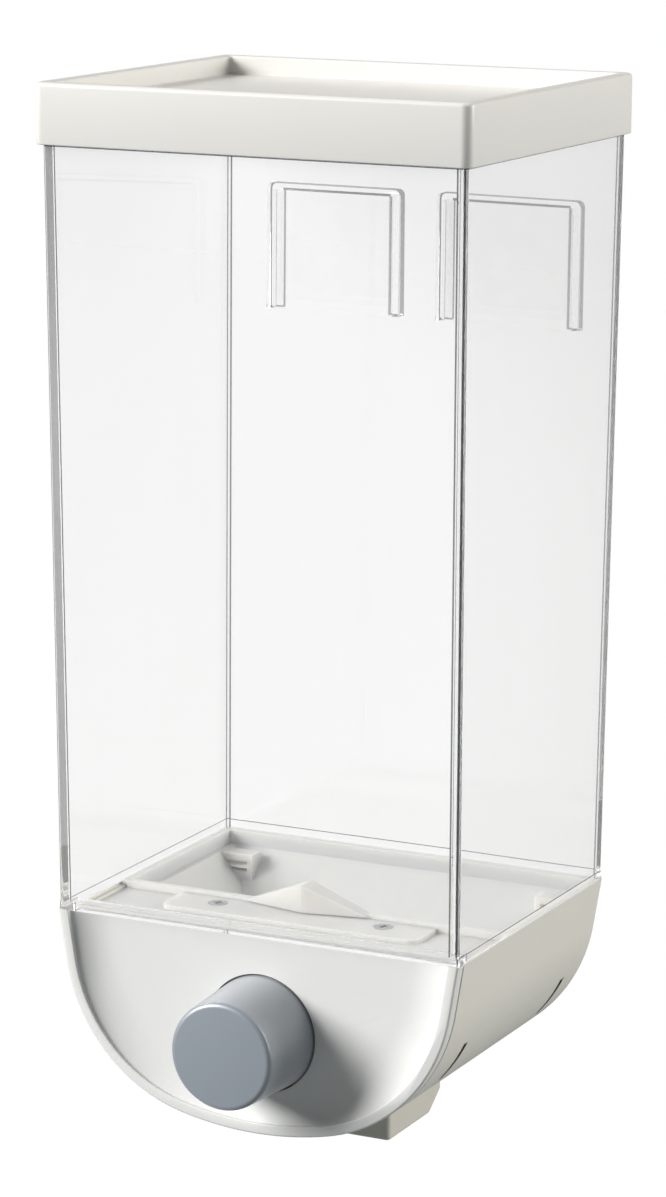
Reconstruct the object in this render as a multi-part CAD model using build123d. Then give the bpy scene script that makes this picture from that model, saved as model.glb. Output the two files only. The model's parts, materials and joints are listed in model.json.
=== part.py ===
from build123d import *
import os
from math import acos, atan2, cos, hypot, sin, sqrt, tan

# A wall-hung dispenser for dry food. Millimetres, X to the right, Y back to the wall, Z up.
# Every piece is drawn about the middle of the container, with Z 0 at the container's foot.
# At the end all pieces are moved so that the origin lies on the wall, midway between the wall plates.

# Clearances
part_gap = 0.3
seat_gap = 0.1
pin_clearance = 0.05
press_clearance = 0.02
screw_clearance = 0.2

# Container
foot_width = 104.8
foot_depth = 85.6
mouth_width = 107.1
mouth_depth = 91.5
container_height = 180.8
container_wall = 2.0
container_corner = 3.0
foot_flange_thickness = 1.8
neck_height = 6.6
neck_step = 0.7

# Lid
lid_height = 14.3
lid_skirt = 1.2
lid_play = 0.25
lid_corner = 2.4
lid_rim_width = 3.2
lid_rim_round = 1.0
lid_recess = 4.6
lid_floor_round = 0.5
lid_floor = 1.8
lid_plug_wall = 1.4
lid_plug_depth = 4.5
lid_plug_play = 1.4
seal_lip = 1.0

# Hanging rails on the container's back, and the wall plates
rail_pitch = 46.4
rail_width = 36.4
rail_height = 31.2
rail_drop = 17.0
rail_wall = 1.7
rail_lip = 2.0
rail_lip_thickness = 1.3
rail_stand_off = 3.2
rail_round = 1.6
plate_flange_thickness = 1.2
plate_height = 27.0
plate_thickness = 1.6
plate_round = 2.0
pad_thickness = 1.0
pad_inset = 1.5

# Base bowl
bowl_overhang = 0.2
bowl_height = 48.1
bowl_wall = 2.2
belly_radius = 85.5
flank_radius = 41.1
flank_flare = 1.5
bowl_edge_round = 0.8
rebate_width = 1.1
rebate_depth = 1.2

# Front cover
cover_rim_width = 2.7
cover_rim_depth = 2.8
cover_rim_round = 0.6
seam_groove = 0.8
panel_recess = 3.6
panel_thickness = 2.0
dish_wall_depth = 0.9
dish_heel_depth = 2.6
dish_heel_width = 2.0
dish_sweep_width = 8.4
cover_spigot_wall = 1.6
cover_spigot_reach = 5.0
cover_snap_height = 0.5
cover_snap_width = 1.6
cover_snap_tip = 1.4
cover_snap_side_reach = 9.0
cover_snap_side_drop = 7.0
cover_snap_foot_x = 24.0

# Push knob
knob_drop = 24.4
knob_face_radius = 13.05
knob_base_radius = 14.05
knob_reach = 20.3
knob_travel = 15.0
knob_play = 0.4
knob_wall = 1.8
knob_face_thickness = 2.0
knob_edge_round = 1.3

# Guide post, bracket and spring
post_radius = 3.0
tube_wall = 1.95
post_boss_radius = 5.0
post_boss_length = 4.0
bracket_thickness = 2.0
bracket_gap = 3.5
bracket_top_drop = 6.0
spring_radius = 7.0
spring_wire = 0.9
spring_turns = 10

# Slide gate
ring_outer_radius = 17.0
ring_inner_radius = 8.3
ring_thickness = 3.0
knob_screw_offset = 11.0
knob_boss_radius = 2.2
gate_width = 48.0
gate_thickness = 2.3
gate_overlap = 3.4
gate_drop = 34.2
throat_length = 13.0
throat_width = 42.0
gate_rail_width = 5.2

# Hopper
collar_height = 3.6
collar_wall = 1.6
hopper_wall = 2.0
hopper_flange = 1.6
ledge_width = 1.6
slope_offset = 2.7
gable_rise = 6.1
gable_half_width = 20.5
gable_foot_drop = 2.0
gable_prow = 4.0

# Mechanism cover
deck_thickness = 1.8
deck_drop = 0.8
deck_step = 1.0
deck_step_length = 12.0
deck_step_half_width = 34.0
deck_step_round = 3.0

# Outlet spout
spout_width = 52.0
spout_wall = 1.8
spout_flange = 2.0
spout_drop = 4.1
spout_lead = 11.3
spout_tail = 4.4
spout_ear = 5.2
spout_slope_wall = 2.6
spout_foot_round = 0.8
spout_chamfer_rise = 4.8
spout_chamfer_run = 6.8
spout_corner = 1.2
spout_notch_half_width = 10.0
spout_notch_depth = 2.4

# Snap posts and slits
snap_x = 43.5
snap_half_width = 3.5
snap_front_inset = 17.3
snap_back_inset = 11.3
slit_width = 2.2
snap_thickness = 1.6
snap_top_drop = 5.7
barb_height = 1.6
barb_reach = 1.2
window_play = 0.7
snap_tab_thickness = 1.4
column_wall = 1.4

# Screws
screw_radius = 1.25
screw_head_radius = 2.3
screw_head_height = 1.3
screw_boss_radius = 2.6
spout_screw_length = 7.2
knob_screw_length = 7.5
deck_screw_length = 7.0
deck_screw_x = 22.0
deck_screw_gap = 2.4

# Heights worked out from the sizes above
bowl_top = -foot_flange_thickness
bowl_bottom = bowl_top - bowl_height
ledge_z = bowl_top - collar_height
throat_z = bowl_top - gate_drop
gate_top = throat_z - part_gap
gate_bottom = gate_top - gate_thickness
spout_top = gate_bottom - part_gap
spout_flange_bottom = spout_top - spout_flange
spout_mouth = bowl_bottom - spout_drop
knob_axis = bowl_top - knob_drop
deck_top = bowl_top - deck_drop
lid_top = container_height + lid_height
rail_top = container_height - rail_drop
lid_floor_top = lid_top - lid_recess
lid_floor_bottom = lid_floor_top - lid_floor
neck_top = container_height + neck_height
snap_top = bowl_top - snap_top_drop
barb_bottom = snap_top - barb_height

# Places from front to back
front_y = -foot_depth / 2
back_y = foot_depth / 2
shell_front_y = front_y + cover_rim_depth + seam_groove
shell_inner_back_y = back_y - bowl_wall
panel_y = front_y + panel_recess
panel_back_y = panel_y + panel_thickness
knob_face_y = panel_y - knob_reach
ring_front_y = panel_back_y + part_gap
ring_back_y = ring_front_y + ring_thickness
bracket_front_y = ring_back_y + knob_travel + bracket_gap
hopper_front_y = bracket_front_y + bracket_thickness
throat_front_y = hopper_front_y + hopper_wall
throat_back_y = throat_front_y + throat_length
aperture_front_y = throat_front_y - knob_travel
gate_back_y = throat_back_y + gate_overlap
spout_front_y = throat_front_y - spout_lead
spout_back_y = throat_back_y + spout_tail
rail_front_y = spout_front_y - spout_ear
flange_back_y = spout_back_y + spout_ear
front_screw_y = rail_front_y + spout_ear / 2
back_screw_y = flange_back_y - spout_ear / 2
deck_screw_y = bracket_front_y - deck_screw_gap
cover_spigot_y = front_y + cover_rim_depth
cover_spigot_end_y = cover_spigot_y + cover_spigot_reach
snap_front_y = front_y + snap_front_inset
snap_back_y = back_y - snap_back_inset
deck_front_y = panel_back_y + part_gap
deck_back_y = hopper_front_y - seat_gap

# Widths worked out from the sizes above
bowl_half_width = foot_width / 2 + bowl_overhang
neck_width = mouth_width - 2 * neck_step
neck_depth = mouth_depth - 2 * neck_step
lid_width = mouth_width + 2 * (lid_skirt + lid_play)
lid_depth = mouth_depth + 2 * (lid_skirt + lid_play)
gate_rail_inner_x = gate_width / 2 + part_gap
gate_rail_outer_x = gate_rail_inner_x + gate_rail_width
spout_screw_x = (gate_rail_inner_x + gate_rail_outer_x) / 2
draft_depth = (mouth_depth - foot_depth) / 2
rail_bottom = rail_top - rail_height
wall_face_at_rail = back_y + draft_depth * rail_top / container_height
rail_back_y = wall_face_at_rail + rail_stand_off
rail_lip_front_y = rail_back_y - rail_lip_thickness
plate_front_y = rail_lip_front_y - part_gap / 2 - plate_flange_thickness
plate_face_y = rail_back_y + part_gap
plate_back_y = plate_face_y + plate_thickness
wall_plane_y = plate_back_y + pad_thickness
plate_top = rail_top - rail_wall - part_gap
plate_bottom = plate_top - plate_height
origin_z = (plate_top + plate_bottom) / 2


def block(x0, x1, y0, y1, z0, z1):
    """A box between two corners."""
    middle = ((x0 + x1) / 2, (y0 + y1) / 2, (z0 + z1) / 2)
    return Pos(*middle) * Box(abs(x1 - x0), abs(y1 - y0), abs(z1 - z0))


def y_rod(radius, y0, y1, x=0.0, z=0.0):
    """A round bar along Y."""
    return Pos(x, (y0 + y1) / 2, z) * Rot(90, 0, 0) * Cylinder(radius, abs(y1 - y0))


def z_rod(radius, z0, z1, x=0.0, y=0.0):
    """An upright round bar."""
    return Pos(x, y, (z0 + z1) / 2) * Cylinder(radius, abs(z1 - z0))


def rounded_slab(width, depth, corner, z0, z1):
    """An upright slab with rounded corners."""
    return Pos(0, 0, z0) * extrude(RectangleRounded(width, depth, corner), z1 - z0)


def bowl_face(inset, top):
    """The D-shaped section of the bowl, moved inwards by inset and cut off level at top."""
    flank_x = bowl_half_width - flank_flare - flank_radius
    belly_z = bowl_bottom + belly_radius
    flank_z = belly_z - sqrt((belly_radius - flank_radius) ** 2 - flank_x**2)
    reach = hypot(bowl_half_width - flank_x, bowl_top - flank_z)
    side_angle = atan2(bowl_top - flank_z, bowl_half_width - flank_x) - acos(flank_radius / reach)
    join_angle = atan2(flank_z - belly_z, flank_x)
    middle_angle = (side_angle + join_angle) / 2
    flank = flank_radius - inset
    belly = belly_radius - inset

    def flank_point(angle):
        return (flank_x + flank * cos(angle), flank_z + flank * sin(angle))

    side = flank_point(side_angle)
    half = flank_point(middle_angle)
    join = flank_point(join_angle)
    edge_x = side[0] - (top - side[1]) * tan(side_angle)
    lines = Curve() + [
        Line((edge_x, top), side),
        ThreePointArc(side, half, join),
        ThreePointArc(join, (0, belly_z - belly), (-join[0], join[1])),
        ThreePointArc((-join[0], join[1]), (-half[0], half[1]), (-side[0], side[1])),
        Line((-side[0], side[1]), (-edge_x, top)),
        Line((-edge_x, top), (edge_x, top)),
    ]
    return make_face(lines)


def bowl_prism(inset, y0, y1, top=bowl_top):
    """The bowl's section drawn out along Y."""
    return Pos(0, y1, 0) * Rot(90, 0, 0) * extrude(bowl_face(inset, top), y1 - y0)


def bowl_taper(inset0, y0, inset1, y1):
    """A solid that runs from one inset of the bowl's section to another along Y."""
    near = Pos(0, y0, 0) * Rot(90, 0, 0) * bowl_face(inset0, bowl_top)
    far = Pos(0, y1, 0) * Rot(90, 0, 0) * bowl_face(inset1, bowl_top)
    return loft([near, far], ruled=True)


def tapered_box(width0, depth0, width1, depth1, corner, z0, z1):
    """A box with rounded upright corners that widens from z0 to z1."""
    low = Pos(0, 0, z0) * Rectangle(width0, depth0)
    high = Pos(0, 0, z1) * Rectangle(width1, depth1)
    box = loft([low, high], ruled=True)
    uprights = [edge for edge in box.edges() if edge.bounding_box().size.Z > (z1 - z0) / 2]
    return fillet(uprights, corner)


def hanging_rails():
    """Two inverted U rails, with inward lips on the legs, for the wall plates to slide into."""
    rails = []
    inner_width = rail_width - 2 * rail_wall
    mouth = inner_width - 2 * rail_lip
    for side in (-1, 1):
        middle = side * rail_pitch / 2
        outline = Rectangle(rail_width, rail_height)
        outline = fillet(outline.vertices().group_by(Axis.Y)[-1], rail_round)
        solid_rail = extrude(outline, rail_back_y)
        rail = Pos(middle, rail_back_y, rail_top - rail_height / 2) * Rot(90, 0, 0) * solid_rail
        hollow_top = rail_top - rail_wall
        rail -= block(middle - inner_width / 2, middle + inner_width / 2, 0, rail_lip_front_y,
                      rail_bottom - rail_wall, hollow_top)
        rail -= block(middle - mouth / 2, middle + mouth / 2, 0, rail_back_y + rail_wall,
                      rail_bottom - rail_wall, hollow_top)
        rails.append(rail)
    return rails


def container_inside(z0, z1):
    """The drafted space between the container's walls, carried on at its own draft to any level."""
    widths = []
    depths = []
    for z in (z0, z1):
        widths.append(foot_width - 2 * container_wall + (mouth_width - foot_width) * z / container_height)
        depths.append(foot_depth - 2 * container_wall + (mouth_depth - foot_depth) * z / container_height)
    return tapered_box(widths[0], depths[0], widths[1], depths[1],
                       container_corner - container_wall, z0, z1)


def make_container():
    """The clear box: drafted walls, a foot flange, a neck inside the lid and the hanging rails."""
    outside = tapered_box(foot_width, foot_depth, mouth_width, mouth_depth, container_corner,
                          0, container_height)
    neck = rounded_slab(neck_width, neck_depth, container_corner - neck_step,
                        container_height, neck_top)
    flange = rounded_slab(2 * bowl_half_width, foot_depth, container_corner, bowl_top, 0)
    body = outside + neck + flange
    for rail in hanging_rails():
        body += rail
    half_ledge = (foot_width - container_wall) / 2
    front_ledge = block(-half_ledge, half_ledge, front_y + container_wall / 2, panel_back_y,
                        bowl_top, 0)
    return body - container_inside(bowl_top, neck_top) + front_ledge


def make_lid():
    """The cap: a recessed top, a skirt outside the neck and a plug ring inside it."""
    body = rounded_slab(lid_width, lid_depth, lid_corner, container_height, lid_top)
    body = fillet(body.faces().sort_by(Axis.Z)[-1].edges(), lid_rim_round)
    recess = rounded_slab(lid_width - 2 * lid_rim_width, lid_depth - 2 * lid_rim_width,
                          lid_corner - lid_rim_round, lid_floor_top, lid_top)
    recess = fillet(recess.faces().sort_by(Axis.Z)[0].edges(), lid_floor_round)
    underside = rounded_slab(lid_width - 2 * lid_skirt, lid_depth - 2 * lid_skirt,
                             lid_corner - lid_skirt, container_height, lid_floor_bottom)
    plug_width = mouth_width - 2 * (container_wall + lid_plug_play)
    plug_depth = mouth_depth - 2 * (container_wall + lid_plug_play)
    plug_foot = lid_floor_bottom - lid_plug_depth
    plug = rounded_slab(plug_width, plug_depth, lid_corner, plug_foot, lid_floor_bottom)
    plug -= rounded_slab(plug_width - 2 * lid_plug_wall, plug_depth - 2 * lid_plug_wall,
                         lid_corner - lid_plug_wall, plug_foot, lid_floor_bottom)
    return body - recess - underside + plug


def make_lid_seal():
    """The soft ring round the plug, with a flange that lies on the container's neck."""
    plug_width = mouth_width - 2 * (container_wall + lid_plug_play)
    plug_depth = mouth_depth - 2 * (container_wall + lid_plug_play)
    low = neck_top + seat_gap
    lip_bottom = lid_floor_bottom - lid_plug_depth + seal_lip
    flange = rounded_slab(neck_width, neck_depth, container_corner - neck_step,
                          low, lid_floor_bottom)
    lip = rounded_slab(plug_width + 2 * seal_lip, plug_depth + 2 * seal_lip,
                       lid_corner + seal_lip, lip_bottom, lid_floor_bottom)
    bore = rounded_slab(plug_width, plug_depth, lid_corner, lip_bottom, lid_floor_bottom)
    return flange + lip - bore


def make_wall_plate(side):
    """The hook that stays on the wall: a flange and neck that the container's rail slides over."""
    flange_width = rail_width - 2 * rail_wall - 2 * part_gap
    neck = flange_width - 2 * rail_lip
    middle = side * rail_pitch / 2
    flange = block(middle - flange_width / 2, middle + flange_width / 2,
                   plate_front_y, plate_front_y + plate_flange_thickness, plate_bottom, plate_top)
    flange = fillet(flange.edges().filter_by(Axis.Y).group_by(Axis.Z)[-1], plate_round)
    web = block(middle - neck / 2, middle + neck / 2,
                plate_front_y, plate_back_y, plate_bottom, plate_top)
    back = block(middle - flange_width / 2, middle + flange_width / 2,
                 plate_face_y, plate_back_y, plate_bottom, plate_top)
    back = fillet(back.edges().filter_by(Axis.Y), plate_round)
    return flange + web + back


def make_adhesive_pad(side):
    """The sticky pad between a wall plate and the wall."""
    width = rail_width - 2 * rail_wall - 2 * part_gap - 2 * pad_inset
    middle = side * rail_pitch / 2
    pad = block(middle - width / 2, middle + width / 2, plate_back_y, wall_plane_y,
                plate_bottom + pad_inset, plate_top - pad_inset)
    return fillet(pad.edges().filter_by(Axis.Y), plate_round)


def snap_places():
    """Each snap post's side, its slit's Y, and which way its barb points."""
    return [(side, y, way) for side in (-1, 1) for y, way in ((snap_front_y, 1), (snap_back_y, -1))]


def snap_post(side, y, way):
    """An upright leg beside a slit, with a barb over the slit."""
    leg_near = y - way * slit_width / 2
    leg_far = leg_near - way * snap_thickness
    x0 = side * snap_x - snap_half_width
    x1 = side * snap_x + snap_half_width
    leg = block(x0, x1, leg_near, leg_far, bowl_bottom, snap_top)
    slope = [(leg_near, snap_top), (leg_near + way * barb_reach, barb_bottom), (leg_near, barb_bottom)]
    barb = extrude(Plane.YZ * make_face(Polyline(*slope, close=True)), 2 * snap_half_width)
    return leg + Pos(x0, 0, 0) * barb


def cover_snaps(inset, clearance):
    """Two ridges at the sides and two below, whose crests lie at the given inset of the section."""
    y_end = cover_spigot_end_y - cover_snap_tip
    ridge = bowl_prism(inset, y_end - cover_snap_width - clearance, y_end + clearance)
    ridge -= bowl_prism(bowl_wall + cover_spigot_wall, shell_front_y, cover_spigot_end_y)
    side_top = bowl_top - cover_snap_side_drop + clearance
    side_low = side_top - cover_snap_side_reach - 2 * clearance
    foot_in = cover_snap_foot_x - clearance
    foot_out = foot_in + cover_snap_side_reach + 2 * clearance
    snaps = []
    for side in (-1, 1):
        near_side = block(0, side * bowl_half_width, shell_front_y, cover_spigot_end_y, side_low, side_top)
        foot = block(side * foot_in, side * foot_out, shell_front_y, cover_spigot_end_y,
                     bowl_bottom, knob_axis)
        snaps += [ridge & near_side, ridge & foot]
    return snaps


def make_base_shell():
    """The half-round bowl: curved wall, back wall, spout hole, slits, snap posts and screw lugs."""
    outside = bowl_prism(0, shell_front_y, back_y)
    outside = fillet(outside.faces().sort_by(Axis.Y)[-1].edges().group_by(Axis.Z)[:-1], bowl_edge_round)
    inside = bowl_prism(bowl_wall, shell_front_y, shell_inner_back_y)
    shell = outside - inside
    rebate_inset = bowl_wall - rebate_width
    rebate = bowl_prism(rebate_inset, shell_front_y, back_y - rebate_inset)
    rebate &= block(-bowl_half_width, bowl_half_width, shell_front_y, back_y,
                    bowl_top - rebate_depth, bowl_top)
    shell -= rebate
    room = bowl_prism(bowl_wall / 2, shell_front_y, shell_inner_back_y)
    for side, y, way in snap_places():
        shell += snap_post(side, y, way) & room
        shell -= block(side * snap_x - snap_half_width, side * snap_x + snap_half_width,
                       y - slit_width / 2, y + slit_width / 2, bowl_bottom, barb_bottom - window_play)
    for groove in cover_snaps(bowl_wall - cover_snap_height, seat_gap):
        shell -= groove
    hole_half = spout_width / 2 + part_gap
    shell -= block(-hole_half, hole_half, spout_front_y - part_gap, spout_back_y + part_gap,
                   bowl_bottom - bowl_wall, throat_z)
    return shell


def make_front_cover():
    """The dished front: rim, recessed panel with the knob's hole, spigot and screw bosses."""
    rim = bowl_prism(0, front_y, front_y + cover_rim_depth)
    rim = fillet(rim.faces().sort_by(Axis.Y)[0].edges().group_by(Axis.Z)[:-1], cover_rim_round)
    spigot_inset = bowl_wall + seat_gap
    spigot = bowl_prism(spigot_inset, cover_spigot_y, cover_spigot_end_y)
    hollow = bowl_prism(spigot_inset + cover_spigot_wall, panel_back_y, cover_spigot_end_y)
    heel_inset = cover_rim_width + dish_heel_width
    dish = bowl_prism(cover_rim_width, front_y, front_y + dish_wall_depth)
    dish += bowl_taper(cover_rim_width, front_y + dish_wall_depth, heel_inset, front_y + dish_heel_depth)
    dish += bowl_taper(heel_inset, front_y + dish_heel_depth, heel_inset + dish_sweep_width, panel_y)
    cover = rim + spigot - hollow - dish
    for snap in cover_snaps(spigot_inset - cover_snap_height, 0):
        cover += snap
    return cover - y_rod(knob_base_radius + knob_play, front_y, panel_back_y, 0, knob_axis)


def make_push_knob():
    """The round button: a tapered cup with a guide tube and two screw bosses inside."""
    straight = panel_y - ring_front_y
    rear = ring_front_y
    length = rear - knob_face_y
    skirt = -straight
    profile = Polyline((0, 0), (knob_base_radius, 0), (knob_base_radius, skirt),
                       (knob_face_radius, length), (0, length), close=True)
    outer = revolve(Plane.XZ * make_face(profile), Axis.Z)
    outer = fillet(outer.edges().group_by(Axis.Z)[-1], knob_edge_round)
    inner_length = length - knob_face_thickness
    hollow_profile = Polyline((0, 0), (knob_base_radius - knob_wall, 0),
                              (knob_face_radius - knob_wall, inner_length),
                              (0, inner_length), close=True)
    hollow = revolve(Plane.XZ * make_face(hollow_profile), Axis.Z)
    knob = outer - hollow
    tube_radius = post_radius + pin_clearance
    knob += z_rod(tube_radius + tube_wall, part_gap, inner_length)
    knob -= z_rod(tube_radius, part_gap, inner_length)
    for side in (-1, 1):
        knob += z_rod(knob_boss_radius, 0, inner_length, side * knob_screw_offset) & outer
    for side in (-1, 1):
        knob -= z_rod(screw_radius, 0, knob_screw_length, side * knob_screw_offset)
    return Pos(0, rear, knob_axis) * Rot(90, 0, 0) * knob


def make_slide_gate():
    """The plate that opens the throat, and the ring that the knob is screwed to."""
    ring = y_rod(ring_outer_radius, ring_front_y, ring_back_y, 0, knob_axis)
    ring -= block(-ring_outer_radius, ring_outer_radius, ring_front_y, ring_back_y,
                  knob_axis - 2 * ring_outer_radius, gate_bottom)
    half = gate_width / 2
    plate = block(-half, half, ring_front_y, gate_back_y, gate_bottom, gate_top)
    gate = ring + plate
    gate -= y_rod(ring_inner_radius, ring_front_y, ring_back_y, 0, knob_axis)
    aperture = Pos(0, aperture_front_y + throat_length / 2, gate_bottom) * extrude(
        RectangleRounded(throat_width, throat_length, spout_corner), gate_thickness)
    gate -= aperture
    for side in (-1, 1):
        gate -= Pos(side * knob_screw_offset, ring_back_y, knob_axis) * Rot(90, 0, 0) * countersink(
            ring_thickness)
    return gate


def make_guide_bracket():
    """The upright bracket that carries the guide post and the deck, with feet on the gate rails."""
    top = deck_top - deck_step - deck_thickness - seat_gap
    plate = block(-gate_rail_outer_x, gate_rail_outer_x, bracket_front_y, hopper_front_y,
                  throat_z, top - bracket_top_drop)
    bracket = plate + y_rod(post_boss_radius, bracket_front_y - post_boss_length, bracket_front_y,
                            0, knob_axis)
    for side in (-1, 1):
        x0 = side * gate_rail_inner_x
        x1 = side * gate_rail_outer_x
        bracket += block(x0, x1, rail_front_y, hopper_front_y, throat_z, throat_z + hopper_flange)
        bracket += z_rod(screw_boss_radius, throat_z, throat_z + 2 * hopper_flange,
                         side * spout_screw_x, front_screw_y)
        bracket += z_rod(screw_boss_radius, top - deck_screw_length - bracket_top_drop, top,
                         side * deck_screw_x, deck_screw_y)
        bracket += block(side * deck_screw_x - hopper_wall / 2, side * deck_screw_x + hopper_wall / 2,
                         deck_screw_y, hopper_front_y, top - deck_screw_length - bracket_top_drop,
                         top - bracket_top_drop)
    for side in (-1, 1):
        bracket -= z_rod(screw_radius, throat_z, throat_z + 2 * hopper_flange,
                         side * spout_screw_x, front_screw_y)
        bracket -= z_rod(screw_radius, top - deck_screw_length, top,
                         side * deck_screw_x, deck_screw_y)
    bore = y_rod(post_radius + press_clearance, bracket_front_y - post_boss_length, hopper_front_y,
                 0, knob_axis)
    return bracket - bore


def spout_screw_places():
    """The X and Y of the four screws under the spout's flange."""
    return [(side * spout_screw_x, y) for side in (-1, 1) for y in (front_screw_y, back_screw_y)]


def make_guide_post():
    """The steel post that the knob slides on, stopping the knob at the end of its travel."""
    tip = knob_face_y + knob_face_thickness + knob_travel + part_gap
    post = y_rod(post_radius, tip, hopper_front_y - part_gap, 0, knob_axis)
    return chamfer(post.edges().group_by(Axis.Y)[0], part_gap)


def make_return_spring():
    """The coil between the bracket and the inside of the knob's face, as one open helix."""
    start = knob_face_y + knob_face_thickness + part_gap + spring_wire / 2
    end = bracket_front_y - part_gap - spring_wire / 2
    pitch = (end - start) / spring_turns
    path = Helix(pitch, end - start, spring_radius)
    section = Plane(path @ 0, z_dir=path % 0) * Circle(spring_wire / 2)
    coil = sweep(section, path)
    return Pos(0, end, knob_axis) * Rot(90, 0, 0) * coil


def hopper_column(side):
    """The hollow column in each back corner of the hopper, where a snap post catches."""
    leg_near = snap_back_y + slit_width / 2
    front = leg_near - part_gap - column_wall
    back = leg_near + snap_thickness + part_gap + column_wall
    x_in = snap_x - snap_half_width - part_gap - column_wall
    outer = block(side * x_in, side * bowl_half_width, front, back, throat_z, ledge_z)
    inner = block(side * (x_in + column_wall), side * bowl_half_width, front + column_wall,
                  back - column_wall, throat_z, snap_top + part_gap)
    window = block(side * (snap_x - snap_half_width - part_gap),
                   side * (snap_x + snap_half_width + part_gap), front, front + column_wall,
                   barb_bottom - window_play, snap_top + part_gap)
    return outer, inner, window


def gable_wall():
    """The gable-topped upper part of the hopper's front wall, with a shallow prow over the deck."""
    peak = bowl_top + gable_rise
    foot = bowl_top - gable_foot_drop
    outline = Polyline((-gable_half_width, foot), (0, peak), (gable_half_width, foot), close=True)
    gable = Rot(90, 0, 0) * extrude(make_face(outline), hopper_wall + gable_prow)
    gable = Pos(0, throat_front_y, 0) * gable
    wall = block(-gable_half_width, gable_half_width, hopper_front_y, throat_front_y, foot, peak)
    prow_foot = deck_top + part_gap
    plan = Polyline((-gable_half_width, hopper_front_y), (0, hopper_front_y - gable_prow),
                    (gable_half_width, hopper_front_y), close=True)
    prow = Pos(0, 0, prow_foot) * extrude(make_face(plan), peak - prow_foot)
    return gable & (wall + prow)


def make_hopper():
    """The funnel: a collar in the bowl's mouth, sloped walls to the throat and a foot flange."""
    wide = 2 * bowl_half_width
    half_mouth = foot_width / 2 - container_wall
    inner_back = foot_depth / 2 - container_wall - collar_wall
    inner_x = half_mouth - collar_wall
    cavity_x = inner_x - ledge_width
    slope_back = inner_back + slope_offset
    collar = block(-wide / 2, wide / 2, hopper_front_y, back_y, ledge_z - hopper_wall, bowl_top)
    throat_middle = (hopper_front_y + throat_back_y + hopper_wall) / 2
    throat_outer = throat_back_y + hopper_wall - hopper_front_y
    top_face = Pos(0, (hopper_front_y + slope_back) / 2, ledge_z) * Rectangle(
        2 * (cavity_x + slope_offset), slope_back - hopper_front_y)
    low_face = Pos(0, throat_middle, throat_z) * Rectangle(throat_width + 2 * hopper_wall, throat_outer)
    funnel = loft([low_face, top_face], ruled=True)
    flange = block(-gate_rail_outer_x, gate_rail_outer_x, hopper_front_y, flange_back_y,
                   throat_z, throat_z + hopper_flange)
    body = collar + funnel + flange
    for x, y in spout_screw_places():
        if y > hopper_front_y:
            body += z_rod(screw_boss_radius, throat_z, throat_z + 2 * hopper_flange, x, y)
    columns = [hopper_column(side) for side in (-1, 1)]
    for outer, inner, window in columns:
        body += outer
    room = bowl_prism(bowl_wall + part_gap, hopper_front_y, shell_inner_back_y - part_gap)
    body &= room
    lip_inset = bowl_wall - rebate_width + seat_gap
    lip = bowl_prism(lip_inset, hopper_front_y, back_y - lip_inset)
    lip &= block(-wide / 2, wide / 2, hopper_front_y, back_y, bowl_top - rebate_depth, bowl_top)
    body += lip
    open_top = block(-inner_x, inner_x, throat_front_y, inner_back, ledge_z, bowl_top)
    cavity_top = Pos(0, (throat_front_y + inner_back) / 2, ledge_z) * Rectangle(
        2 * cavity_x, inner_back - throat_front_y)
    cavity_low = Pos(0, (throat_front_y + throat_back_y) / 2, throat_z) * Rectangle(
        throat_width, throat_length)
    cavity = loft([cavity_low, cavity_top], ruled=True)
    body = body - open_top - cavity
    for outer, inner, window in columns:
        body += outer & room & block(-inner_x, inner_x, hopper_front_y, inner_back, throat_z, ledge_z)
        body = body - inner - window
    for x, y in spout_screw_places():
        if y > hopper_front_y:
            body -= z_rod(screw_radius, throat_z, throat_z + 2 * hopper_flange, x, y)
    return body + gable_wall()


def make_mechanism_cover():
    """The deck over the knob's works: two levels, side lips, and tabs for the front snap posts."""
    step_y = deck_back_y - deck_step_length
    low_top = deck_top - deck_step
    deck = block(-bowl_half_width, bowl_half_width, deck_front_y, deck_back_y,
                 low_top - deck_thickness, low_top)
    step = block(-deck_step_half_width, deck_step_half_width, step_y, deck_back_y, low_top, deck_top)
    deck += fillet(step.edges().filter_by(Axis.Z).group_by(Axis.Y)[0], deck_step_round)
    inside_spigot = bowl_wall + seat_gap + cover_spigot_wall + part_gap
    spigot_line = cover_spigot_end_y + part_gap
    deck &= (bowl_prism(inside_spigot, deck_front_y, deck_back_y)
             + bowl_prism(bowl_wall + part_gap, spigot_line, deck_back_y))
    for side in (-1, 1):
        x0 = snap_x - snap_half_width - part_gap - column_wall
        x1 = snap_x + snap_half_width + part_gap
        leg_near = snap_front_y - slit_width / 2
        tab_y = leg_near + part_gap
        tab = block(side * x0, side * x1, tab_y, tab_y + snap_tab_thickness,
                    barb_bottom - window_play - column_wall, low_top)
        tab -= block(side * (x0 + column_wall), side * x1, tab_y, tab_y + snap_tab_thickness,
                     barb_bottom - window_play, snap_top + part_gap)
        deck += tab
        deck -= Pos(side * deck_screw_x, deck_screw_y, deck_top) * Rot(180, 0, 0) * countersink(
            deck_thickness + deck_step)
    return deck


def make_gate_rail(side):
    """The strip beside the gate plate, between the spout's flange and the parts above."""
    rail = block(side * gate_rail_inner_x, side * gate_rail_outer_x, rail_front_y, flange_back_y,
                 spout_top, throat_z)
    for x, y in spout_screw_places():
        rail -= z_rod(screw_radius + screw_clearance, spout_top, throat_z, x, y)
    return rail


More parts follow.
